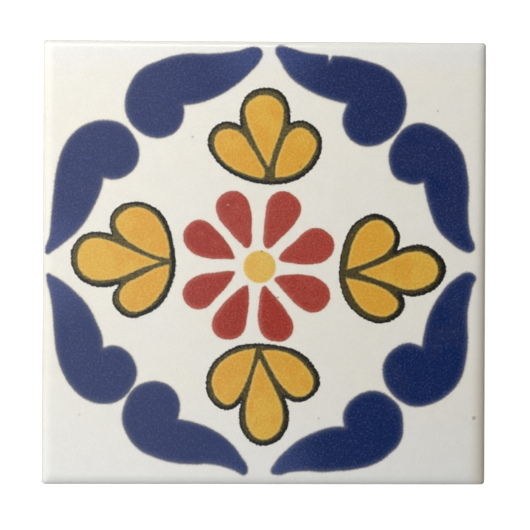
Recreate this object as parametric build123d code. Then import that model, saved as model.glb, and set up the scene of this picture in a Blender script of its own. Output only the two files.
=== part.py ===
# Square decorated wall tile, pressed from earthenware clay in one piece and glazed on its face.
# It lies face up: +Z is out of the glazed face and +Y is the top of its pattern.
# The origin is the middle of the back, where two ribs cross.
import os
from math import radians, sqrt, tan

from build123d import *

# Driving dimensions, in millimetres and degrees
TILE_SIDE = 105.0  # across the widest line, where the cushion edge meets the sides
TILE_THICKNESS = 6.5  # from the ribs of the back to the glazed face
CORNER_RADIUS = 1.0  # the four upright corners
SIDE_DRAFT = 1.5  # lean of the sides, which lets the pressed tile out of its die
CUSHION_WIDTH = 2.6  # from the side to where the flat of the face begins
CUSHION_DROP = 1.1  # from the face down to where the cushion edge meets the side
CUSHION_LIP = 0.25  # how far the roll stops short of upright, measured down the side
BACK_ARRIS = 0.5  # bevel round the back
KEY_COUNT = 6  # pockets along each side of the back, an even number so that ribs cross at the middle
KEY_RIB = 2.5  # rib between two pockets, at the back plane
KEY_RIM = 7.0  # plain border round the pockets
KEY_DEPTH = 0.8  # depth of a pocket
KEY_CORNER = 1.5  # corner radius of a pocket
KEY_DRAFT = 35.0  # lean of a pocket's walls
OVERCUT = 2.0  # how far a cutting shape runs past the tile

# The back is smaller than the widest line by the draft of the two sides below it.
WIDEST_HEIGHT = TILE_THICKNESS - CUSHION_DROP
BACK_SIDE = TILE_SIDE - 2 * WIDEST_HEIGHT * tan(radians(SIDE_DRAFT))


def crossed(section, reach):
    # The same upright section both ways: a bar along Y and a bar along X, kept where they cross.
    bar = extrude(Plane.XZ * section, reach, both=True)
    return bar & Rot(Z=90) * bar


def drafted_block(side, height, draft, corner):
    # Square block on the back plane. Its plane sides lean out as they rise, or in where draft is negative.
    lean = height * tan(radians(draft))
    outline = Polyline(
        (-side / 2, 0), (side / 2, 0), (side / 2 + lean, height), (-side / 2 - lean, height), close=True
    )
    block = crossed(make_face(outline), side)
    levels = block.faces().sort_by(Axis.Z)
    uprights = block.edges() - levels[0].edges() - levels[-1].edges()
    return fillet(uprights, corner)


def cushion():
    # Flat face that rolls over towards all four sides as a quarter ellipse, with mitred corners.
    # The roll is level where it leaves the flat and nearly upright where it meets the side.
    flat_half = TILE_SIDE / 2 - CUSHION_WIDTH
    roll_height = CUSHION_DROP + CUSHION_LIP
    roll_width = CUSHION_WIDTH / sqrt(1 - (CUSHION_LIP / roll_height) ** 2)
    roll_centre = TILE_THICKNESS - roll_height
    outer = flat_half + roll_width
    right_roll = EllipticalCenterArc(
        (flat_half, roll_centre), roll_width, roll_height, start_angle=0, arc_size=90
    )
    left_roll = EllipticalCenterArc(
        (-flat_half, roll_centre), roll_width, roll_height, start_angle=90, arc_size=90
    )
    foot = Polyline(
        (-outer, roll_centre), (-outer, -OVERCUT), (outer, -OVERCUT), (outer, roll_centre)
    )
    flat = Line((flat_half, TILE_THICKNESS), (-flat_half, TILE_THICKNESS))
    return crossed(make_face([right_roll, flat, left_roll, foot]), TILE_SIDE / 2 + OVERCUT)


def back_keys():
    # Shallow square pockets of the waffle back, which the bedding mortar keys into.
    pocket = (BACK_SIDE - 2 * KEY_RIM - (KEY_COUNT - 1) * KEY_RIB) / KEY_COUNT
    pitch = pocket + KEY_RIB
    key = drafted_block(pocket, KEY_DEPTH, -KEY_DRAFT, KEY_CORNER)
    return [place * key for place in GridLocations(pitch, pitch, KEY_COUNT, KEY_COUNT)]


def tile():
    blank = drafted_block(BACK_SIDE, TILE_THICKNESS + OVERCUT, SIDE_DRAFT, CORNER_RADIUS)
    blank = chamfer(blank.faces().sort_by(Axis.Z)[0].edges(), BACK_ARRIS)
    pressed = blank & cushion()
    return pressed - back_keys()


os.makedirs("parts", exist_ok=True)
export_step(tile(), "parts/tile.step")
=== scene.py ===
# Hand-painted wall tile lying face up on a white floor, seen from almost straight above.
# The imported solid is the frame. One piece is laid over it: the fired tile, glazed and painted.
import math

import bpy
import numpy as np
from mathutils import Euler, Matrix, Vector, noise


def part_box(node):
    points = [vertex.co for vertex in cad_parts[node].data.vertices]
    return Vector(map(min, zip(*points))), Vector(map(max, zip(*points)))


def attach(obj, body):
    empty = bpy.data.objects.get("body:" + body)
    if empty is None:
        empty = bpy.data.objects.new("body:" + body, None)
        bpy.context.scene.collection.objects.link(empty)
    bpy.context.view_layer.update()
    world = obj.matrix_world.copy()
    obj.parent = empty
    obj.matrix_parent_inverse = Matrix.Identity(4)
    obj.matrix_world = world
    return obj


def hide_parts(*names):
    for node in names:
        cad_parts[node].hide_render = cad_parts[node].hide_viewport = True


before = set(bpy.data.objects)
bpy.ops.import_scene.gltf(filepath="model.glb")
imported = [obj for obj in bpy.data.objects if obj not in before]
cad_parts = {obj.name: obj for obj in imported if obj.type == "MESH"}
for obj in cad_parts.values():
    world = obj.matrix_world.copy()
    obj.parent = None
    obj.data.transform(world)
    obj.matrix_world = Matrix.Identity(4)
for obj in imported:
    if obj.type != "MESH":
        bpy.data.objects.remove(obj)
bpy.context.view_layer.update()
tileLow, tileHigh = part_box("tile")
mm = 0.001
tileSize = [round(v / mm, 2) for v in tileHigh - tileLow]
print("frame loaded,", len(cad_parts), "node, tile", tileSize, "mm")

# How the photograph shows the tile, in the pixels of its 530 x 530 frame
photo = {
    "size": 530,
    "tileMiddle": (263.98, 262.24),
    "tileSide": 443.15,  # across the widest line of the tile
    "tileTurn": 0.24,  # degrees clockwise
    "cameraLean": 2.26,  # degrees that the camera stands left of straight above
    "paintDrop": 0.3,  # the pattern sits this much lower than its points below
    "cameraRise": 0.65,  # metres from the widest line up to the camera
    "cameraReach": 50.0,  # metres that the camera sees
    "sensor": 36.0,
}

# Section of the tile, as the solid has it but with slightly tighter corners, and relief of its glaze
body = {
    "flatCells": 256,  # squares of the mesh across the flat of the face
    "rollCells": 8,  # squares down each cushion edge
    "cushionWidth": 2.6 * mm,
    "cushionDrop": 1.1 * mm,
    "cushionLip": 0.25 * mm,
    "cornerRadius": 0.7 * mm,
    "sideDraft": 1.5,  # degrees
    "sideLevels": (4.3 * mm, 3.2 * mm, 2.1 * mm, 1.2 * mm, 0.5 * mm),  # rows of the mesh down the sides
    "backArris": 0.5 * mm,
    "keyCount": 6,
    "keyRib": 2.5 * mm,
    "keyRim": 7.0 * mm,
    "keyDepth": 0.8 * mm,
    "keyCorner": 1.5 * mm,
    "keySegments": 4,  # steps round a pocket's corner
    "keyMargin": 3.0 * mm,  # how far the mesh of the pockets runs past them
    "keyDraft": 35.0,  # degrees
    "smoothAngle": 30.0,  # degrees, past which an edge shades sharp
    "glazeSink": 0.05 * mm,  # bare white glaze lies this far under the face of the solid
    "sinkWidth": 2.0 * mm,  # from the side to where it has sunk
    "sinkShare": 0.95,  # paint and waves fill no more than this much of the sink
    "waveHeight": 0.012 * mm,  # slow waves of the fired glaze
    "waveLength": 14.0 * mm,
    "waveSlice": 0.7,  # level at which the waves are cut out of their noise
}
tileHalf = (tileHigh.x - tileLow.x) / 2
widestLevel = tileHigh.z - body["cushionDrop"]
backHalf = tileHalf - widestLevel * math.tan(math.radians(body["sideDraft"]))

# The cushion edge is a quarter ellipse that stops short of upright by its lip
flatHalf = tileHalf - body["cushionWidth"]
rollHeight = body["cushionDrop"] + body["cushionLip"]
rollWidth = body["cushionWidth"] / math.sqrt(1 - (body["cushionLip"] / rollHeight) ** 2)

# Where a pixel of the photograph falls on the face
middlePixel = (photo["size"] - 1) / 2
pixelWidth = 2 * tileHalf / photo["tileSide"]
tileTurn = Matrix.Rotation(math.radians(photo["tileTurn"]), 2)
tileMiddle = Vector((photo["tileMiddle"][0] - middlePixel, middlePixel - photo["tileMiddle"][1]))
cameraAim = (-(tileTurn @ tileMiddle) * pixelWidth).to_3d() + Vector((0, 0, widestLevel))
cameraTurn = Euler((0, -math.radians(photo["cameraLean"]), math.radians(photo["tileTurn"])))
cameraSpot = cameraAim + cameraTurn.to_matrix() @ Vector((0, 0, photo["cameraRise"]))
facePixel = pixelWidth * (1 - body["cushionDrop"] / photo["cameraRise"])


def onFace(px, py):
    # Follows the camera's line of sight through this pixel down to the face
    across = (px - middlePixel) * pixelWidth
    up = (middlePixel - photo["paintDrop"] - py) * pixelWidth
    sight = cameraTurn.to_matrix() @ Vector((across, up, -photo["cameraRise"]))
    return (cameraSpot + sight * (tileHigh.z - cameraSpot.z) / sight.z).to_2d()


def addCamera():
    bpy.ops.object.select_all(action="DESELECT")
    bpy.ops.object.camera_add(location=cameraSpot, rotation=cameraTurn)
    camera = bpy.context.object
    camera.data.sensor_width = photo["sensor"]
    camera.data.lens = photo["sensor"] * photo["cameraRise"] / (pixelWidth * photo["size"])
    camera.data.clip_end = photo["cameraReach"]
    bpy.context.scene.camera = camera


addCamera()
print("camera placed")

# Painted shapes: points along each outline, in pixels of the photograph, some marked as sharp corners
sharp = "VECTOR"
leaves = {
    "topLeftUpper": [
        (257, 46.8), (261.5, 51), (259, 60), (250, 70.5), (235, 84), (215, 96), (195, 102.7),
        (182.5, 104, sharp), (183.3, 113), (177.5, 128), (166, 135.6), (152, 136.5), (138, 129.7),
        (127.5, 117), (124.7, 104), (128.6, 86), (139.6, 69.8), (158, 60.4), (182, 53.6), (211, 53.2),
        (236, 50.8),
    ],
    "topLeftLower": [
        (46.2, 252.9), (52, 250), (64.5, 240.7), (79.6, 226.8), (90.2, 210.7), (98.9, 192), (102, 181),
        (102.3, 176.7, sharp), (113, 178.3), (126, 174.3), (135.5, 164.3), (138.3, 151), (133.3, 136),
        (122.5, 124.2), (108, 119.8), (90, 122), (74.5, 131), (63, 147.2), (56.3, 169), (53.4, 191),
        (51.1, 214), (49, 236), (45.4, 247.5),
    ],
    "topRightUpper": [
        (278, 45.4), (290, 47.4), (305, 52.1), (322, 54), (327.4, 54.9, sharp), (328.5, 61.6, sharp),
        (332.3, 55.4, sharp), (348, 56.3), (366, 60.6), (384, 67.2), (397.5, 79.2), (404.3, 93.2),
        (405.3, 110), (399, 127.4), (386.7, 139.2), (369, 145.3), (353.5, 140.9), (344, 128.5),
        (342.6, 116.4), (347, 103, sharp), (335, 100), (317, 93.6), (302.5, 85.8), (289.2, 75), (280, 60),
        (275.2, 49),
    ],
    "topRightLower": [
        (474, 246.8), (470.5, 251.3), (462, 249.6), (449, 240.4), (438, 229), (430.4, 211.5),
        (425.6, 193.7), (423.3, 181.2, sharp), (415, 183.4), (404, 181), (395, 176.6), (389.3, 164),
        (389.2, 151), (395.3, 138), (406, 126.5), (418, 122.6), (434, 126.2), (449, 136.5), (460.2, 149.6),
        (466.1, 170), (468.1, 189), (467.3, 209), (468.9, 230), (471.6, 239),
    ],
    "bottomRightUpper": [
        (469.5, 272), (475.3, 277.4), (472.4, 283.8), (470.1, 294), (467, 309.5), (466.7, 324.5),
        (467.1, 340), (465, 360), (459.3, 379), (448.2, 392.7), (434, 401.6), (415, 405.6), (402, 401.3),
        (389.6, 390.4), (383.1, 376.2), (384.4, 359.8), (394.7, 347.7), (407.5, 342.6),
        (421.7, 346.2, sharp), (423.6, 334), (429.2, 313.3), (439.6, 294.6), (453, 279.6),
    ],
    "bottomRightLower": [
        (270.9, 471.7), (276.2, 473.8), (290, 471), (308, 469.9), (319, 470.9), (335, 470.1), (352, 468.6),
        (374, 462.9), (390, 451.9), (400, 440), (402.3, 423), (399.3, 407.5), (389.5, 397), (379, 391.2),
        (366, 391.2), (351, 399.5), (344, 410), (342.8, 419), (344.3, 426.2, sharp), (332, 426.5),
        (317, 430.8), (299.6, 439.1), (285, 450.6), (274.5, 462.6),
    ],
    "bottomLeftLower": [
        (243.9, 474.1), (238, 471.7), (231.5, 468.6), (210, 463.1), (193, 463.2), (175, 462), (154, 456.2),
        (137, 447.2), (125.8, 432), (121.9, 418.4), (125, 402), (132.3, 389.3), (146, 381.7), (161, 381.7),
        (172.8, 389.1), (178.8, 401.5), (178.4, 412), (176.8, 418.4, sharp), (192, 421.5), (211, 428.7),
        (228.8, 441.3), (240.7, 456.4), (246.8, 468.7),
    ],
    "bottomLeftUpper": [
        (46.8, 273), (52.3, 275.3), (57.8, 278.1), (74, 290.8), (87.2, 305.3), (95.3, 320.8), (101.3, 336),
        (102.4, 347.5, sharp), (113, 345), (125, 349.8), (133.4, 360.5), (136, 373.3), (130, 388),
        (118.4, 399.5), (104, 402.8), (87, 399), (73, 388), (61.9, 370.2), (55.8, 349), (54, 332),
        (52.4, 311), (49.7, 292), (46.3, 277.2),
    ],
}
flowers = {
    "top": [
        (266, 87.3), (276.8, 89.5), (284.7, 96.7), (289, 108.2), (289.7, 122.5, sharp), (300, 119.8),
        (311.5, 124.4), (319.5, 134), (321, 146), (316.2, 160.8), (306.3, 172.5), (290, 181.1),
        (268, 183.3), (246, 179.3), (226.3, 169.4), (213.3, 156), (207.6, 142.3), (212.2, 128.5),
        (224, 121.4), (234, 122.4), (240.5, 125.9, sharp), (239.7, 112), (244.1, 97.8), (253.3, 89.9),
    ],
    "left": [
        (70.6, 254), (74.8, 242.3), (84.4, 233.5), (98, 231.4), (111.3, 233.6, sharp), (109.6, 219.6),
        (116, 207.5), (130, 201.8), (146, 203), (159.8, 211.8), (168.6, 227), (173.3, 248), (174.8, 266),
        (170.5, 285.1), (160.2, 303.4), (145, 313.3), (130, 316.8), (117.3, 309.8), (112, 297.2),
        (119.1, 283.2, sharp), (104, 286.2), (87.8, 283.1), (75.5, 273.2),
    ],
    "right": [
        (374, 213.3), (386, 216.8), (396, 226.9), (399.3, 238), (396.3, 250, sharp), (409, 245.4),
        (424, 244.9), (436.5, 252.1), (445.2, 267.1), (440.3, 281.9), (429.4, 291), (412, 295.4),
        (400.8, 293.2, sharp), (404, 303), (398.5, 314.5), (380.6, 322.2), (363.2, 317.1), (347.3, 302.8),
        (340, 284), (339.4, 264), (344, 241.5), (352.4, 225), (363.5, 216.5),
    ],
    "bottom": [
        (256, 342.9), (240, 344.7), (222, 353.5), (209.4, 367.7), (205.8, 383.8), (211.3, 400.3),
        (225.5, 409.1), (236, 405.3), (241.3, 399.3, sharp), (238.8, 417.1), (244, 433.6), (257, 443.9),
        (271, 443.2), (284.1, 432.1), (288.3, 415.5), (284, 396.6, sharp), (297, 401.1), (311, 395.8),
        (319.2, 381.8), (313.5, 365.9), (299, 351.5), (279, 345.3), (267, 343.6),
    ],
}
petals = {
    "topMiddle": [
        (265, 94.5), (275.7, 98.2), (282.2, 106.8), (282.6, 119), (278.2, 136), (272.3, 152),
        (268.3, 166.3, sharp), (261, 153.3), (252.6, 136.3), (245.9, 117.5), (245.7, 105.7), (253, 97.7),
    ],
    "topLeft": [
        (228, 128.3), (240.4, 132.9), (250, 145.8), (258.5, 159.8), (264, 174.2), (261, 177.4, sharp),
        (246.3, 173.7), (228.5, 164.7), (216.5, 151.5), (214.1, 140), (218.6, 131.2),
    ],
    "topRight": [
        (299, 127), (309.3, 131.8), (315.5, 142.8), (311.6, 155.6), (301.5, 168.1), (287.8, 175),
        (274.8, 176.6, sharp), (275.5, 165.3), (280.6, 148.4), (287.6, 133.8),
    ],
    "leftMiddle": [
        (77.2, 256), (81.1, 244), (91, 237.7), (106, 239), (128, 248.2), (146, 256.1),
        (160.8, 260.9, sharp), (140, 267.6), (121, 275.8), (103, 279.2), (88, 276.7), (78.5, 266.6),
    ],
    "leftUpper": [
        (115.5, 221.8), (121.6, 212.1), (135.5, 206.3), (150.3, 211.3), (161.7, 225.4), (168.5, 245),
        (168.6, 257.9, sharp), (155.2, 254.6), (138.2, 246.8), (123.2, 236.1),
    ],
    "leftLower": [
        (168.6, 263.3, sharp), (167.8, 274.3), (161.3, 290.2), (150, 304.1), (134, 310.9), (122.8, 305.6),
        (119.1, 295), (124.3, 284.5), (138, 276.8), (154, 268.1),
    ],
    "rightUpper": [
        (376, 219.5), (387.7, 224.4), (393.7, 236), (388.2, 249.4), (371.8, 259.6), (346.7, 268.5, sharp),
        (349.5, 252), (354.4, 237), (363.8, 224.7),
    ],
    "rightMiddle": [
        (357.3, 271.4, sharp), (378, 264.3), (394, 256.9), (411, 251.2), (425.2, 252.8), (436.4, 264.3),
        (435.5, 276.7), (425, 285.4), (408, 288.7), (390, 282.9), (372, 276.9),
    ],
    "rightLower": [
        (345.3, 277.2, sharp), (361, 280.4), (377.2, 285.2), (391.4, 293.9), (397.3, 304.2), (388.3, 314.3),
        (374, 314.2), (360.7, 306.6), (351, 292.3),
    ],
    "bottomLeft": [
        (255.3, 347.8, sharp), (240, 350.8), (224, 358.8), (213.1, 372.8), (212.5, 388.3), (221, 401.1),
        (229.5, 403.4), (239.3, 393.2), (246.8, 377.7), (252, 361.5),
    ],
    "bottomMiddle": [
        (258.7, 358, sharp), (265.7, 372), (275.3, 391.3), (281.7, 409.8), (279.8, 426.8), (270, 437.1),
        (256.5, 437.1), (247.6, 426.3), (245.4, 408.8), (249.7, 387.3), (254.8, 368.3),
    ],
    "bottomRight": [
        (261.2, 349.9, sharp), (276, 349.7), (292, 355), (305.3, 366.1), (312.6, 381.3), (306, 394),
        (294.5, 395.2), (281.9, 385), (270.6, 367.9),
    ],
}
rosette = {  # red petals round the heart, clockwise from the one left of the top
    "first": [
        (231, 190.6), (242.8, 194.7), (249.4, 207.5), (250.6, 230), (249.9, 243), (247.2, 246.8),
        (240.4, 242), (228.3, 229.1), (217.9, 215), (217.1, 200.4),
    ],
    "second": [
        (281.5, 191), (293, 195.3), (300.1, 206.3), (295.5, 219.7), (276, 240.7), (270.5, 246),
        (266.6, 247.2), (264, 243.3), (263.9, 231), (265.1, 216.5), (270, 197.3),
    ],
    "third": [
        (315, 227.8), (327, 232.3), (333.3, 244.8), (325.8, 258.5), (311, 263), (288, 261.3), (281, 259.8),
        (278.6, 257.9, sharp), (282.2, 251.9), (295.1, 240.8), (305, 231.2),
    ],
    "fourth": [
        (274.5, 278.2), (278, 276), (288, 274.4), (301, 274.4), (317.5, 278.2), (328.8, 291.8),
        (324.4, 305.8), (312.5, 311.2), (299.4, 306), (287.4, 294.3), (278, 283.4),
    ],
    "fifth": [
        (263.8, 285.7), (266.6, 287.8), (274.2, 296.3), (286.1, 311.6), (292.4, 327), (286, 338.1),
        (274.7, 340.2), (263.4, 334.9), (258.2, 320.6), (258.8, 305), (260.9, 291),
    ],
    "sixth": [
        (246.9, 284.8, sharp), (247.9, 294.8), (246, 316), (240.7, 333.1), (227.5, 338.3), (215, 332.8),
        (212.3, 320.8), (219.9, 307.3), (234, 292.8), (242.2, 286.6),
    ],
    "seventh": [
        (234.3, 271.2, sharp), (229, 270.7), (215, 272.2), (197.6, 275.3), (185.1, 285.1), (183.3, 296.8),
        (191.5, 306.6), (203.5, 307), (216.4, 295.5), (229, 281),
    ],
    "eighth": [
        (234.3, 257.7, sharp), (229.4, 247.2), (215, 229.3), (201.3, 219.7), (189.4, 223.3), (183.3, 235.8),
        (189.5, 249.2), (203, 256), (225, 257.7),
    ],
}
heart = {"middle": (259, 266), "radius": 16.5}
stains = {  # how far the yellow that ran over a flower's ink sits off it, in pixels
    "top": (-0.3, -0.5), "left": (-1.0, -0.6), "right": (-1.7, 0.3), "bottom": (-0.9, -0.3),
}
# Kiln specks and pale pits: pixel, then radius in pixels
specks = [(277.5, 296.8, 1.2), (261.4, 250.8, 1.2), (300, 165.9, 1.2), (206.8, 139.5, 0.8)]
faintSpecks = [
    (437.5, 110.3, 1.3), (473.4, 417.2, 2.2), (192, 136.1, 1.4), (79, 413.8, 1.2), (318.2, 417.7, 1.3),
]
pinholes = [(227.5, 204.1, 1.2), (237.2, 206.7, 0.9)]
leafPits = [(417, 127, 0.8), (420, 396, 0.6)]
paleTips = {  # how much thinner the blue gets towards a leaf's tip, the first point of its outline
    "topLeftUpper": 1.0, "topLeftLower": 0.8, "topRightUpper": 1.0, "topRightLower": 0.1,
    "bottomRightUpper": 0.1, "bottomRightLower": 0.9, "bottomLeftLower": 0.5, "bottomLeftUpper": 0.9,
}
field = {
    "tipReach": 15.0,  # millimetres from a tip over which the blue thickens
    "tipMargin": 0.6,  # millimetres round a leaf that count as part of it there
    "curveSteps": 6,  # straight steps between two points of an outline
    "depthLimit": 2.2,  # millimetres, past which nothing depends on the distance to an outline
}


def outlineRing(points):
    # A smooth closed line through the points, as spots on the face in millimetres
    curve = bpy.data.curves.new("outline", "CURVE")
    curve.resolution_u = field["curveSteps"]
    spline = curve.splines.new("BEZIER")
    spline.bezier_points.add(len(points) - 1)
    spline.use_cyclic_u = True
    for knot, (px, py, *corner) in zip(spline.bezier_points, points):
        spot = onFace(px, py) / mm
        knot.co = (spot.x, spot.y, 0)
        knot.handle_left_type = corner[0] if corner else "AUTO"
        knot.handle_right_type = corner[0] if corner else "AUTO"
    holder = bpy.data.objects.new("outline", curve)
    line = bpy.data.meshes.new_from_object(holder)
    ring = np.array([vert.co[:2] for vert in line.vertices])
    bpy.data.objects.remove(holder)
    bpy.data.curves.remove(curve)
    bpy.data.meshes.remove(line)
    return ring


def ringDepth(spots, ring):
    # How deep each spot lies inside the ring, in millimetres, below zero outside it
    nearest = np.full(len(spots), np.inf)
    inside = np.zeros(len(spots), bool)
    x, y = spots[:, 0], spots[:, 1]
    for start, end in zip(ring, np.roll(ring, -1, axis=0)):
        run = end - start
        length = run @ run
        if length == 0:
            continue
        share = np.clip(((spots - start) @ run) / length, 0, 1)
        gap = spots - start - share[:, None] * run
        nearest = np.minimum(nearest, np.hypot(gap[:, 0], gap[:, 1]))
        if start[1] != end[1]:
            crossing = start[0] + (y - start[1]) * run[0] / run[1]
            inside ^= ((start[1] > y) != (end[1] > y)) & (x < crossing)
    return np.where(inside, nearest, -nearest)


def outlineDepth(spots, outlines):
    # Depth inside the nearest of several outlines
    limit = field["depthLimit"]
    depth = np.full(len(spots), -limit)
    for points in outlines:
        ring = outlineRing(points)
        near = np.all((spots > ring.min(0) - limit) & (spots < ring.max(0) + limit), axis=1)
        depth[near] = np.maximum(depth[near], ringDepth(spots[near], ring))
    return np.clip(depth, -limit, limit)


def diskDepth(spots, disks):
    limit = field["depthLimit"]
    depth = np.full(len(spots), -limit)
    for px, py, radius in disks:
        middle = np.array(onFace(px, py) / mm)
        gap = spots - middle
        depth = np.maximum(depth, radius * facePixel / mm - np.hypot(gap[:, 0], gap[:, 1]))
    return np.clip(depth, -limit, limit)


def softStep(value, low, high):
    share = np.clip((value - low) / (high - low), 0, 1)
    return share * share * (3 - 2 * share)


def tipPaleness(spots):
    # How thin the blue is at each spot, 0 to 1
    pale = np.zeros(len(spots))
    for name, points in leaves.items():
        gap = spots - np.array(onFace(*points[0][:2]) / mm)
        near = 1 - softStep(np.hypot(gap[:, 0], gap[:, 1]), 0, field["tipReach"])
        inside = outlineDepth(spots, [points]) > -field["tipMargin"]
        pale[inside] = np.maximum(pale, paleTips[name] * near)[inside]
    return pale


def moved(points, shift):
    return [(px + shift[0], py + shift[1], *corner) for px, py, *corner in points]


def paintDepths(spots):
    # Leaves that lie side by side are kept apart, so that the thin white gap between them stays open
    leafList = list(leaves.values())
    stainOutlines = [moved(flowers[name], shift) for name, shift in stains.items()]
    return {
        "leafOdd": outlineDepth(spots, leafList[0::2]),
        "leafEven": outlineDepth(spots, leafList[1::2]),
        "flower": outlineDepth(spots, flowers.values()),
        "stain": outlineDepth(spots, stainOutlines),
        "petal": outlineDepth(spots, petals.values()),
        "rosette": outlineDepth(spots, rosette.values()),
        "heart": diskDepth(spots, [(*heart["middle"], heart["radius"])]),
        "speck": diskDepth(spots, specks),
        "faintSpeck": diskDepth(spots, faintSpecks),
        "pinhole": diskDepth(spots, pinholes),
        "leafPit": diskDepth(spots, leafPits),
        "pale": tipPaleness(spots),
    }


# How proud each paint stands of the white glaze
relief = {
    "leafOdd": 0.03 * mm,
    "leafEven": 0.03 * mm,
    "flower": 0.018 * mm,
    "petal": 0.03 * mm,
    "rosette": 0.03 * mm,
    "heart": 0.025 * mm,
    "start": -0.2,  # millimetres from the outline where the paint begins to rise
    "end": 0.5,  # and where it has risen
}


def gridLines():
    # Lines of the face mesh: even across the flat, and stepped by angle down the cushion edge
    lip = math.asin(body["cushionLip"] / rollHeight)
    roll = flatHalf + rollWidth * np.cos(np.linspace(math.pi / 2, lip, body["rollCells"] + 1)[1:])
    flat = np.linspace(-flatHalf, flatHalf, body["flatCells"] + 1)
    return np.concatenate([-roll[::-1], flat, roll])


def rollDrop(reach):
    # How far the cushion edge has dropped at this reach from the middle of the tile
    share = np.clip((np.abs(reach) - flatHalf) / rollWidth, 0, 1)
    return rollHeight * (1 - np.sqrt(1 - share ** 2))


def roundCorners(x, y):
    # Draws the four corner squares of the mesh in to quarter circles
    start = tileHalf - body["cornerRadius"]
    u = np.clip((np.abs(x) - start) / body["cornerRadius"], 0, 1)
    v = np.clip((np.abs(y) - start) / body["cornerRadius"], 0, 1)
    roundX = np.sign(x) * (start + body["cornerRadius"] * u * np.sqrt(1 - v * v / 2))
    roundY = np.sign(y) * (start + body["cornerRadius"] * v * np.sqrt(1 - u * u / 2))
    corner = (u > 0) & (v > 0)
    return np.where(corner, roundX, x), np.where(corner, roundY, y)


def makeFace():
    lines = gridLines()
    cells = len(lines) - 1
    bpy.ops.object.select_all(action="DESELECT")
    bpy.ops.mesh.primitive_grid_add(x_subdivisions=cells, y_subdivisions=cells, size=cells)
    face = bpy.context.object
    mesh = face.data
    places = np.empty(len(mesh.vertices) * 3)
    mesh.vertices.foreach_get("co", places)
    places = places.reshape(-1, 3)
    column, row = np.rint(places[:, :2] + cells / 2).astype(int).T
    x, y = lines[column], lines[row]
    drop = np.hypot(rollDrop(x), rollDrop(y))
    x, y = roundCorners(x, y)
    spots = np.stack([x, y], axis=1) / mm
    depths = paintDepths(spots)
    raised = np.zeros(len(spots))
    for name, depth in depths.items():
        if name in relief:
            raised = np.maximum(raised, relief[name] * softStep(depth, relief["start"], relief["end"]))
    length = body["waveLength"] / mm
    waves = np.array([noise.noise((sx / length, sy / length, body["waveSlice"])) for sx, sy in spots])
    inset = tileHalf - np.maximum(np.abs(x), np.abs(y))
    sink = body["glazeSink"] * softStep(inset, 0, body["sinkWidth"])
    raised = np.minimum(raised + body["waveHeight"] * waves, body["sinkShare"] * sink)
    z = tileHigh.z - sink + raised - drop
    mesh.vertices.foreach_set("co", np.stack([x, y, z], axis=1).ravel())
    for name, depth in depths.items():
        mesh.attributes.new(name, "FLOAT", "POINT").data.foreach_set("value", depth)
    mesh.update()
    print("face and painted outlines made,", len(mesh.polygons), "squares")
    return face


def pullDown(half, level, scale):
    # A new row under the selected rim, flat at this level
    bpy.ops.mesh.extrude_edges_move()
    bpy.ops.transform.resize(value=(scale, scale, 0), center_override=(0, 0, level))
    return half * scale


def addSides(face):
    bpy.ops.object.mode_set(mode="EDIT")
    bpy.ops.mesh.select_mode(type="FACE")
    bpy.ops.mesh.select_all(action="SELECT")
    bpy.ops.mesh.region_to_loop()
    half = tileHalf
    for level in body["sideLevels"]:
        wanted = backHalf + level * math.tan(math.radians(body["sideDraft"]))
        half = pullDown(half, level, wanted / half)
    pullDown(half, 0, (backHalf - body["backArris"]) / half)
    bpy.ops.object.mode_set(mode="OBJECT")


def makeBack():
    # Waffle back: a grid whose odd cells are pressed in as pockets
    count = body["keyCount"]
    first = body["keyRim"] - backHalf
    pocket = (-2 * first - (count - 1) * body["keyRib"]) / count
    starts = first + np.arange(count) * (pocket + body["keyRib"])
    rims = np.sort(np.concatenate([starts, starts + pocket]))
    lines = np.concatenate([[first - body["keyMargin"]], rims, [body["keyMargin"] - first]])
    cells = len(lines) - 1
    bpy.ops.object.select_all(action="DESELECT")
    bpy.ops.mesh.primitive_grid_add(x_subdivisions=cells, y_subdivisions=cells, size=cells)
    back = bpy.context.object
    pockets = []
    for cell in back.data.polygons:
        column, row = (round(v + (cells - 1) / 2) for v in cell.center[:2])
        pockets.append(column % 2 == 1 and row % 2 == 1)
    for vert in back.data.vertices:
        column, row = (round(v + cells / 2) for v in vert.co[:2])
        vert.co = (lines[column], lines[row], 0)
    bpy.ops.object.mode_set(mode="EDIT")
    bpy.ops.mesh.select_all(action="SELECT")
    bpy.ops.mesh.flip_normals()
    bpy.ops.mesh.select_mode(type="FACE")
    bpy.ops.mesh.select_all(action="DESELECT")
    bpy.ops.object.mode_set(mode="OBJECT")
    for cell, chosen in zip(back.data.polygons, pockets):
        cell.select = chosen
    bpy.ops.object.mode_set(mode="EDIT")
    lean = body["keyDepth"] * math.tan(math.radians(body["keyDraft"]))
    bpy.ops.mesh.inset(thickness=lean, depth=-body["keyDepth"])
    bpy.ops.mesh.select_mode(type="EDGE")
    bpy.ops.mesh.select_all(action="DESELECT")
    bpy.ops.object.mode_set(mode="OBJECT")
    verts = back.data.vertices
    for edge in back.data.edges:
        rise = abs(verts[edge.vertices[0]].co.z - verts[edge.vertices[1]].co.z)
        edge.select = rise > body["keyDepth"] / 2
    bpy.ops.object.mode_set(mode="EDIT")
    rounding = {"offset": body["keyCorner"], "segments": body["keySegments"]}
    bpy.ops.mesh.bevel(offset_type="OFFSET", affect="EDGES", **rounding)
    bpy.ops.object.mode_set(mode="OBJECT")
    print("back made,", sum(pockets), "pockets")
    return back


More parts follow.
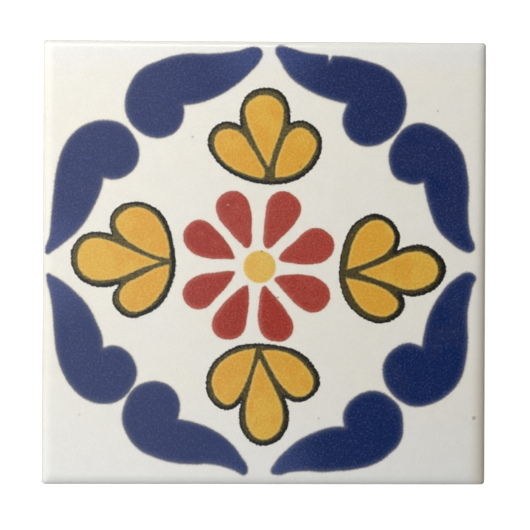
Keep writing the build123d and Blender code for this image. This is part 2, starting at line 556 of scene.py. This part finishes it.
def joinTile(face, back):
    bpy.ops.object.select_all(action="DESELECT")
    back.select_set(True)
    face.select_set(True)
    bpy.context.view_layer.objects.active = face
    bpy.ops.object.join()
    bpy.ops.object.mode_set(mode="EDIT")
    bpy.ops.mesh.select_mode(type="EDGE")
    bpy.ops.mesh.select_all(action="DESELECT")
    openEdgesOnly = dict.fromkeys(("use_wire", "use_multi_face", "use_non_contiguous", "use_verts"), False)
    bpy.ops.mesh.select_non_manifold(**openEdgesOnly)
    bpy.ops.mesh.bridge_edge_loops()
    bpy.ops.mesh.select_all(action="SELECT")
    bpy.ops.mesh.normals_make_consistent(inside=False)
    bpy.ops.object.mode_set(mode="OBJECT")
    bpy.ops.object.shade_smooth_by_angle(angle=math.radians(body["smoothAngle"]))
    face.name = "painted_tile"
    face.data.name = "painted_tile"
    return face


# Where the bake lays the face, the back and the four sides on its picture, in shares of its width
layout = {
    "face": 0.74, "back": 0.22, "strip": 0.045, "margin": 0.012,
    "stripGap": 2.5,  # margins between the face and the first strip
    "faceTilt": 0.05, "backTilt": -0.4,  # how far up or down a part of the face or the back looks
    "faceDepth": 0.7 * mm,  # how far the face reaches below the widest line
}


def layOut(tile):
    mesh = tile.data
    corners = len(mesh.loops)
    vertOf = np.empty(corners, int)
    mesh.loops.foreach_get("vertex_index", vertOf)
    places = np.empty(len(mesh.vertices) * 3)
    mesh.vertices.foreach_get("co", places)
    places = places.reshape(-1, 3)[vertOf]
    normals = np.empty(len(mesh.polygons) * 3)
    mesh.polygons.foreach_get("normal", normals)
    counts = np.empty(len(mesh.polygons), int)
    mesh.polygons.foreach_get("loop_total", counts)
    centres = np.empty(len(mesh.polygons) * 3)
    mesh.polygons.foreach_get("center", centres)
    normals = np.repeat(normals.reshape(-1, 3), counts, axis=0)
    centres = np.repeat(centres.reshape(-1, 3), counts, axis=0)
    side = 2 * tileHalf
    gap = layout["margin"]
    across = places[:, :2] / side + 0.5
    spread = np.empty((corners, 2))
    upper = (normals[:, 2] > layout["faceTilt"]) & (centres[:, 2] > widestLevel - layout["faceDepth"])
    lower = normals[:, 2] < layout["backTilt"]
    spread[upper] = gap + layout["face"] * across[upper]
    spread[lower] = 1 - gap - layout["back"] * across[lower]
    rest = ~(upper | lower)
    alongX = np.abs(normals[:, 1]) > np.abs(normals[:, 0])
    lengthways = np.where(alongX, across[:, 0], across[:, 1])
    strip = 2 * alongX + (np.where(alongX, normals[:, 1], normals[:, 0]) > 0)
    stripBase = layout["face"] + layout["stripGap"] * gap + strip * (layout["strip"] + gap / 2)
    rise = layout["face"] * places[:, 2] / side
    spread[rest, 0] = (gap + layout["face"] * lengthways)[rest]
    spread[rest, 1] = (stripBase + rise)[rest]
    layer = mesh.uv_layers.new(name="OFBake")
    layer.data.foreach_set("uv", spread.ravel())


face = makeFace()
addSides(face)
tile = joinTile(face, makeBack())
layOut(tile)
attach(tile, "root")
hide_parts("tile")
print("tile joined,", len(tile.data.vertices), "points")


def srgb(red, green, blue):
    # A colour as a picture shows it, 0 to 255, made linear
    shares = [v / 255 for v in (red, green, blue)]
    return (*[v / 12.92 if v <= 0.04045 else ((v + 0.055) / 1.055) ** 2.4 for v in shares], 1)


def feed(tree, value, socket):
    if isinstance(value, bpy.types.NodeSocket):
        tree.links.new(value, socket)
    else:
        socket.default_value = value


def maths(tree, operation, first, second=0.0):
    made = tree.nodes.new("ShaderNodeMath")
    made.operation = operation
    feed(tree, first, made.inputs[0])
    feed(tree, second, made.inputs[1])
    return made.outputs[0]


def ramp(tree, value, low, high, bottom=0.0, top=1.0):
    # A soft step from bottom to top as the value goes from low to high
    made = tree.nodes.new("ShaderNodeMapRange")
    made.interpolation_type = "SMOOTHSTEP"
    for socket, entry in zip(made.inputs, (value, low, high, bottom, top)):
        feed(tree, entry, socket)
    return made.outputs[0]


def mixed(tree, share, under, over, way="MIX"):
    made = tree.nodes.new("ShaderNodeMix")
    made.data_type = "RGBA"
    made.blend_type = way
    feed(tree, share, made.inputs[0])
    feed(tree, under, made.inputs[6])
    feed(tree, over, made.inputs[7])
    return made.outputs[2]


def mottle(tree, spots, size, detail=2.0):
    # Smooth noise about 0.5, with patches of this size in millimetres
    made = tree.nodes.new("ShaderNodeTexNoise")
    made.inputs["Scale"].default_value = 1 / size
    made.inputs["Detail"].default_value = detail
    tree.links.new(spots, made.inputs["Vector"])
    return made.outputs[0]


def depthOf(tree, name):
    made = tree.nodes.new("ShaderNodeAttribute")
    made.attribute_name = name
    return made.outputs["Fac"]


def along(tree, spots, direction):
    # How far each spot lies in this direction
    made = tree.nodes.new("ShaderNodeVectorMath")
    made.operation = "DOT_PRODUCT"
    made.inputs[1].default_value = direction
    tree.links.new(spots, made.inputs[0])
    return made.outputs["Value"]


def reachOf(tree, spots):
    # How far each spot lies from the middle of the tile
    made = tree.nodes.new("ShaderNodeVectorMath")
    made.operation = "LENGTH"
    tree.links.new(spots, made.inputs[0])
    return made.outputs["Value"]


def shaded(tree, colour, amount, grain):
    # Lightens and darkens a colour by the grain, up to this amount each way
    shade = ramp(tree, grain, *noiseSteps["shade"], 1 - amount, 1 + amount)
    return mixed(tree, 1.0, colour, shade, "MULTIPLY")


# Levels of the noise, which lies about 0.5, between which something comes in
noiseSteps = {
    "shade": (0.25, 0.75),
    "glazePatch": (0.3, 0.7),
    "paintPatch": (0.35, 0.65),
    "fleck": (0.58, 0.75),
    "dust": (0.3, 0.7),
    "grog": (0.56, 0.7),
}

# Glaze, paints and clay. Colours are as a picture shows them, sizes in millimetres.
white = {
    "colour": srgb(230, 226, 215), "cool": srgb(228, 226, 218), "warm": srgb(231, 225, 211), "patch": 9.0,
    "evenness": 0.5,  # how much of its plain colour covers the cool and warm patches
    "edge": srgb(229, 227, 222),  # painted cool light: cooler towards the bottom edge, and close to the top edge under its highlight
    "lowFrom": 25.0, "lowTo": 52.0, "topFrom": 44.0, "topTo": 51.0,
    "rightTint": srgb(216, 208, 195), "rightTintFrom": 49.4, "rightTintTo": 52.8,  # darker and browner down the right edge
    "rightTintWay": (1, -0.03, 0),
    "cloud": 0.012, "cloudSize": 3.5, "grain": 0.02, "grainSize": 0.6,
}
blue = {
    "colour": srgb(18, 39, 87), "patchColour": srgb(34, 45, 88), "patch": 7.0,
    "drift": (0, 0.004, 0),  # more of the patch colour towards the top
    "left": srgb(12, 38, 102), "leftAmount": 0.4,  # richer towards the left of the tile
    "leftFrom": -5.0, "leftTo": 20.0,
    "thin": srgb(51, 64, 102), "thinTo": 1.9,  # paint this close to its edge is thinner
    "fringe": srgb(84, 86, 107), "fringeTo": 0.95,  # line along the very edge
    "halo": srgb(170, 170, 178), "haloTo": 0.9, "haloAmount": 0.06,  # what has bled into the white
    "spread": 0.165, "ragged": 0.27, "raggedSize": 0.5, "soft": 0.32,
    "grain": 0.33, "grainSize": 0.5, "fleck": srgb(96, 106, 156), "fleckAmount": 0.15,
    "pale": srgb(66, 79, 128), "paleAmount": 0.7,
}
ink = {  # black along the outside of a flower, and olive within, where the yellow has run into it
    "colour": srgb(62, 51, 9), "patchColour": srgb(84, 73, 34), "patch": 0.9,
    "drift": (-0.005, 0.003, 0),  # painted sheen: lighter towards the upper left, where the panel's reflection falls
    "thin": srgb(8, 9, 7), "thinBy": "stain", "thinFrom": 0.5, "thinTo": 0.85,
    "fringe": srgb(30, 30, 28), "fringeTo": 0.12,
    "spread": 0.12, "ragged": 0.48, "raggedSize": 0.5, "soft": 0.12,
    "grain": 0.55, "grainSize": 0.5, "fleck": srgb(118, 102, 52), "fleckAmount": 0.2,
}
yellow = {
    "colour": srgb(217, 169, 65), "patchColour": srgb(215, 157, 53), "patch": 4.0,
    "inward": 0.03, "inwardFrom": 33.0,  # more of the patch colour towards the middle of the tile
    "thin": srgb(214, 176, 84), "thinTo": 0.9,
    "fringe": srgb(182, 153, 80), "fringeTo": 0.4,
    "spread": 0.08, "ragged": 0.3, "raggedSize": 0.45, "soft": 0.2,
    "grain": 0.08, "grainSize": 0.5, "fleck": srgb(228, 190, 104), "fleckAmount": 0.25,
}
red = {
    "colour": srgb(156, 47, 35), "patchColour": srgb(163, 63, 52), "patch": 3.0,
    "drift": (0.016, 0.018, 0),
    "thin": srgb(172, 76, 63), "thinTo": 1.4,
    "fringe": srgb(128, 88, 77), "fringeTo": 0.45,
    "halo": srgb(246, 208, 192), "haloTo": 0.65, "haloAmount": 0.75,
    "spread": 0.155, "ragged": 0.22, "raggedSize": 0.42, "soft": 0.19,
    "grain": 0.22, "grainSize": 0.4, "fleck": srgb(208, 118, 100), "fleckAmount": 0.16,
}
heartYellow = {
    "colour": srgb(220, 180, 88), "patchColour": srgb(222, 173, 78), "patch": 4.0,
    "thin": srgb(218, 188, 112), "thinTo": 0.6,
    "fringe": srgb(216, 194, 136), "fringeTo": 0.3,
    "halo": srgb(238, 224, 192), "haloTo": 0.6, "haloAmount": 0.6,
    "spread": 0.0, "ragged": 0.12, "raggedSize": 0.6, "soft": 0.26,
    "grain": 0.08, "grainSize": 0.5, "fleck": srgb(228, 196, 120), "fleckAmount": 0.25,
}
fleckSize = 1.1  # of the size of a paint's grain
blemishes = {  # colour, then strength
    "speck": (srgb(60, 50, 38), 0.9),
    "faintSpeck": (srgb(90, 76, 58), 0.42),
    "pinhole": (srgb(220, 160, 144), 0.75),
    "leafPit": (srgb(112, 128, 178), 0.6),
}
blemishEdge = (-0.15, 0.2)  # a blemish comes in between these depths
clay = {
    "colour": srgb(186, 140, 108), "dust": srgb(206, 172, 144), "dustSize": 8.0,
    "grog": srgb(150, 104, 78), "grogSize": 0.8, "grogAmount": 0.5,
    "edgeShade": srgb(182, 177, 170),  # painted shade: greys the outermost edge, where the glaze also runs thin over it
    "thinFrom": 5.5, "thinTo": 6.0, "edgeShadeAmount": 0.7,  # heights above the back
}
surface = {
    "glazeRough": 0.17, "inkRough": 0.3, "clayRough": 0.9,
    "glazeLine": 2.4,  # millimetres above the back where the glaze stops on the sides
    "lineWander": 1.6, "wanderSize": 7.0, "lineSoft": 0.12,
    "peelSize": 1.1, "peelHeight": 0.0025 * mm,
    "claySize": 0.35, "clayHeight": 0.05 * mm,
}


def painted(tree, spots, under, depth, paint):
    # One paint laid over what is under it. Its edge wanders a little, and it is thinner near the edge.
    wander = maths(tree, "SUBTRACT", mottle(tree, spots, paint["raggedSize"], 3.0), 0.5)
    wander = maths(tree, "MULTIPLY", wander, 2 * paint["ragged"])
    edge = maths(tree, "ADD", maths(tree, "ADD", depth, wander), paint["spread"])
    cover = ramp(tree, edge, -paint["soft"], paint["soft"])
    patchy = mottle(tree, spots, paint["patch"], 3.0)
    if "drift" in paint:
        patchy = maths(tree, "ADD", patchy, along(tree, spots, paint["drift"]))
    if "inward" in paint:
        nearer = maths(tree, "SUBTRACT", paint["inwardFrom"], reachOf(tree, spots))
        patchy = maths(tree, "ADD", patchy, maths(tree, "MULTIPLY", nearer, paint["inward"]))
    patchy = ramp(tree, patchy, *noiseSteps["paintPatch"])
    colour = mixed(tree, patchy, paint["colour"], paint["patchColour"])
    if "left" in paint:
        leftward = along(tree, spots, (-1, 0, 0))
        richer = ramp(tree, leftward, paint["leftFrom"], paint["leftTo"], 0.0, paint["leftAmount"])
        colour = mixed(tree, richer, colour, paint["left"])
    thick = edge
    if "thinBy" in paint:
        thick = maths(tree, "ADD", depthOf(tree, paint["thinBy"]), wander)
    thick = ramp(tree, thick, paint.get("thinFrom", 0.0), paint["thinTo"])
    colour = mixed(tree, thick, paint["thin"], colour)
    if "pale" in paint:
        thinned = maths(tree, "MULTIPLY", depthOf(tree, "pale"), paint["paleAmount"])
        colour = mixed(tree, thinned, colour, paint["pale"])
    colour = mixed(tree, ramp(tree, edge, 0.0, paint["fringeTo"]), paint["fringe"], colour)
    colour = shaded(tree, colour, paint["grain"], mottle(tree, spots, paint["grainSize"], 1.0))
    speckled = mottle(tree, spots, fleckSize * paint["grainSize"], 0.0)
    flecks = ramp(tree, speckled, *noiseSteps["fleck"], 0.0, paint["fleckAmount"])
    colour = mixed(tree, flecks, colour, paint["fleck"])
    if "halo" in paint:
        bled = ramp(tree, edge, -paint["haloTo"], 0.0, 0.0, paint["haloAmount"])
        under = mixed(tree, bled, under, paint["halo"])
    return mixed(tree, cover, under, colour), cover


def firedTile():
    material = bpy.data.materials.new("painted_glaze_on_clay")
    material.use_nodes = True
    tree = material.node_tree
    shader = tree.nodes["Principled BSDF"]
    place = tree.nodes.new("ShaderNodeTexCoord").outputs["Object"]
    scaled = tree.nodes.new("ShaderNodeVectorMath")
    scaled.operation = "SCALE"
    scaled.inputs["Scale"].default_value = 1 / mm
    tree.links.new(place, scaled.inputs[0])
    spots = scaled.outputs[0]

    # White tin glaze, slightly warmer and cooler in patches
    tint = ramp(tree, mottle(tree, spots, white["patch"], 3.0), *noiseSteps["glazePatch"])
    glaze = mixed(tree, tint, white["cool"], white["warm"])
    glaze = mixed(tree, white["evenness"], glaze, white["colour"])
    # Painted cool light: cooler towards the bottom edge and close to the top edge
    cooled = ramp(tree, along(tree, spots, (0, -1, 0)), white["lowFrom"], white["lowTo"])
    glaze = mixed(tree, cooled, glaze, white["edge"])
    cooled = ramp(tree, along(tree, spots, (0, 1, 0)), white["topFrom"], white["topTo"])
    glaze = mixed(tree, cooled, glaze, white["edge"])
    # Darker and browner down the right edge
    rightTinted = ramp(tree, along(tree, spots, white["rightTintWay"]), white["rightTintFrom"], white["rightTintTo"])
    glaze = mixed(tree, rightTinted, glaze, white["rightTint"])
    glaze = shaded(tree, glaze, white["cloud"], mottle(tree, spots, white["cloudSize"]))
    glaze = shaded(tree, glaze, white["grain"], mottle(tree, spots, white["grainSize"]))

    # Paints, from the bottom up
    leafDepth = maths(tree, "MAXIMUM", depthOf(tree, "leafOdd"), depthOf(tree, "leafEven"))
    glaze, _ = painted(tree, spots, glaze, leafDepth, blue)
    glaze, inkCover = painted(tree, spots, glaze, depthOf(tree, "flower"), ink)
    glaze, petalCover = painted(tree, spots, glaze, depthOf(tree, "petal"), yellow)
    glaze, _ = painted(tree, spots, glaze, depthOf(tree, "rosette"), red)
    glaze, _ = painted(tree, spots, glaze, depthOf(tree, "heart"), heartYellow)
    for name, (colour, strength) in blemishes.items():
        shown = ramp(tree, depthOf(tree, name), *blemishEdge, 0.0, strength)
        glaze = mixed(tree, shown, glaze, colour)

    # Bare clay under the line where the glaze stops
    height = along(tree, spots, (0, 0, 1))
    wander = maths(tree, "SUBTRACT", mottle(tree, spots, surface["wanderSize"], 4.0), 0.5)
    level = maths(tree, "ADD", height, maths(tree, "MULTIPLY", wander, 2 * surface["lineWander"]))
    line, soft = surface["glazeLine"], surface["lineSoft"]
    glazed = ramp(tree, level, line - soft, line + soft)
    dusty = ramp(tree, mottle(tree, spots, clay["dustSize"], 4.0), *noiseSteps["dust"])
    earth = mixed(tree, dusty, clay["colour"], clay["dust"])
    grains = mottle(tree, spots, clay["grogSize"], 4.0)
    grog = ramp(tree, grains, *noiseSteps["grog"], 0.0, clay["grogAmount"])
    earth = mixed(tree, grog, earth, clay["grog"])
    # Painted shade: the outermost edge greyed, where the glaze also runs thin
    thin = ramp(tree, height, clay["thinFrom"], clay["thinTo"], clay["edgeShadeAmount"], 0.0)
    glaze = mixed(tree, thin, glaze, clay["edgeShade"])
    feed(tree, mixed(tree, glazed, earth, glaze), shader.inputs["Base Color"])

    inkOnly = maths(tree, "MULTIPLY", inkCover, maths(tree, "SUBTRACT", 1.0, petalCover))
    rough = ramp(tree, inkOnly, 0.0, 1.0, surface["glazeRough"], surface["inkRough"])
    bare = maths(tree, "SUBTRACT", 1.0, glazed)
    rough = maths(tree, "MAXIMUM", rough, maths(tree, "MULTIPLY", bare, surface["clayRough"]))
    feed(tree, rough, shader.inputs["Roughness"])

    peel = maths(tree, "MULTIPLY", mottle(tree, spots, surface["peelSize"]), surface["peelHeight"])
    crumb = maths(tree, "MULTIPLY", mottle(tree, spots, surface["claySize"], 4.0), surface["clayHeight"])
    texture = maths(tree, "ADD", peel, maths(tree, "MULTIPLY", crumb, bare))
    bump = tree.nodes.new("ShaderNodeBump")
    bump.inputs["Distance"].default_value = 1.0
    feed(tree, texture, bump.inputs["Height"])
    tree.links.new(bump.outputs[0], shader.inputs["Normal"])
    return material


tile.data.materials.clear()
tile.data.materials.append(firedTile())
print("glaze and paints made")

# White floor and soft lamps round the upper left. The glaze mirrors the big panel on its left half.
studio = {
    "floorSide": 6.0,
    "floorColour": (0.8, 0.8, 0.8, 1),
    "floorRough": 0.9,
    "floorGlow": 0.94,
    "horizon": 0.53,
    "zenith": 0.04,
    "skyFrom": 0.6, "skyTo": 0.93,  # heights between which the sky goes from one to the other
    "lamps": {  # a lamp faces straight down, or else the tile
        "key": {"spot": (-0.262, 0.27, 0.45), "size": (0.26, 0.26), "power": 2.27, "down": True},
        "panel": {"spot": (-0.388, 0.05, 0.80), "size": (0.80, 0.80), "power": 2.6, "down": True},
        "leftStrip": {"spot": (-0.356, -0.26, 0.36), "size": (0.50, 0.28), "power": 0.5, "down": False},
        "topStrip": {
            "spot": (-0.104, 0.33, 0.40), "size": (0.30, 0.12), "power": 0.62, "down": False,
            "colour": (1.0, 0.985, 0.96),
        },
        "fill": {
            "spot": (-0.484, -0.52, 0.40), "size": (0.50, 0.50), "power": 1.2, "down": False,
            "colour": (0.70, 0.85, 1.0),
        },
    },
}


def addFloor():
    bpy.ops.object.select_all(action="DESELECT")
    bpy.ops.mesh.primitive_plane_add(size=studio["floorSide"], location=(0, 0, tileLow.z))
    floor = bpy.context.object
    floor.name = "floor"
    material = bpy.data.materials.new("white_floor")
    material.use_nodes = True
    tree = material.node_tree
    shader = tree.nodes["Principled BSDF"]
    shader.inputs["Base Color"].default_value = studio["floorColour"]
    shader.inputs["Roughness"].default_value = studio["floorRough"]
    shader.inputs["Specular IOR Level"].default_value = 0.0
    rays = tree.nodes.new("ShaderNodeLightPath").outputs
    seen = maths(tree, "MAXIMUM", rays["Is Camera Ray"], rays["Is Glossy Ray"])
    seen = maths(tree, "MAXIMUM", seen, rays["Is Transmission Ray"])
    shader.inputs["Emission Color"].default_value = (1, 1, 1, 1)
    feed(tree, maths(tree, "MULTIPLY", seen, studio["floorGlow"]), shader.inputs["Emission Strength"])
    floor.data.materials.append(material)


def addLamp(name, setting):
    bpy.ops.object.select_all(action="DESELECT")
    spot = Vector(setting["spot"])
    target = Vector((spot.x, spot.y, 0)) if setting["down"] else Vector()
    aim = (target - spot).to_track_quat("-Z", "Y").to_euler()
    bpy.ops.object.light_add(type="AREA", location=spot, rotation=aim)
    lamp = bpy.context.object
    lamp.name = name
    lamp.data.shape = "RECTANGLE"
    lamp.data.size, lamp.data.size_y = setting["size"]
    lamp.data.energy = setting["power"]
    lamp.data.color = setting.get("colour", (1, 1, 1))
    lamp.visible_camera = False


def addWorld():
    world = bpy.data.worlds.new("studio")
    world.use_nodes = True
    tree = world.node_tree
    background = tree.nodes["Background"]
    split = tree.nodes.new("ShaderNodeSeparateXYZ")
    tree.links.new(tree.nodes.new("ShaderNodeTexCoord").outputs["Generated"], split.inputs[0])
    height = split.outputs[2]
    level = ramp(tree, height, studio["skyFrom"], studio["skyTo"], studio["horizon"], studio["zenith"])
    tree.links.new(level, background.inputs["Strength"])
    bpy.context.scene.world = world


addFloor()
for name, setting in studio["lamps"].items():
    addLamp(name, setting)
addWorld()
bpy.context.scene.view_settings.view_transform = "Standard"
print("floor and light made")
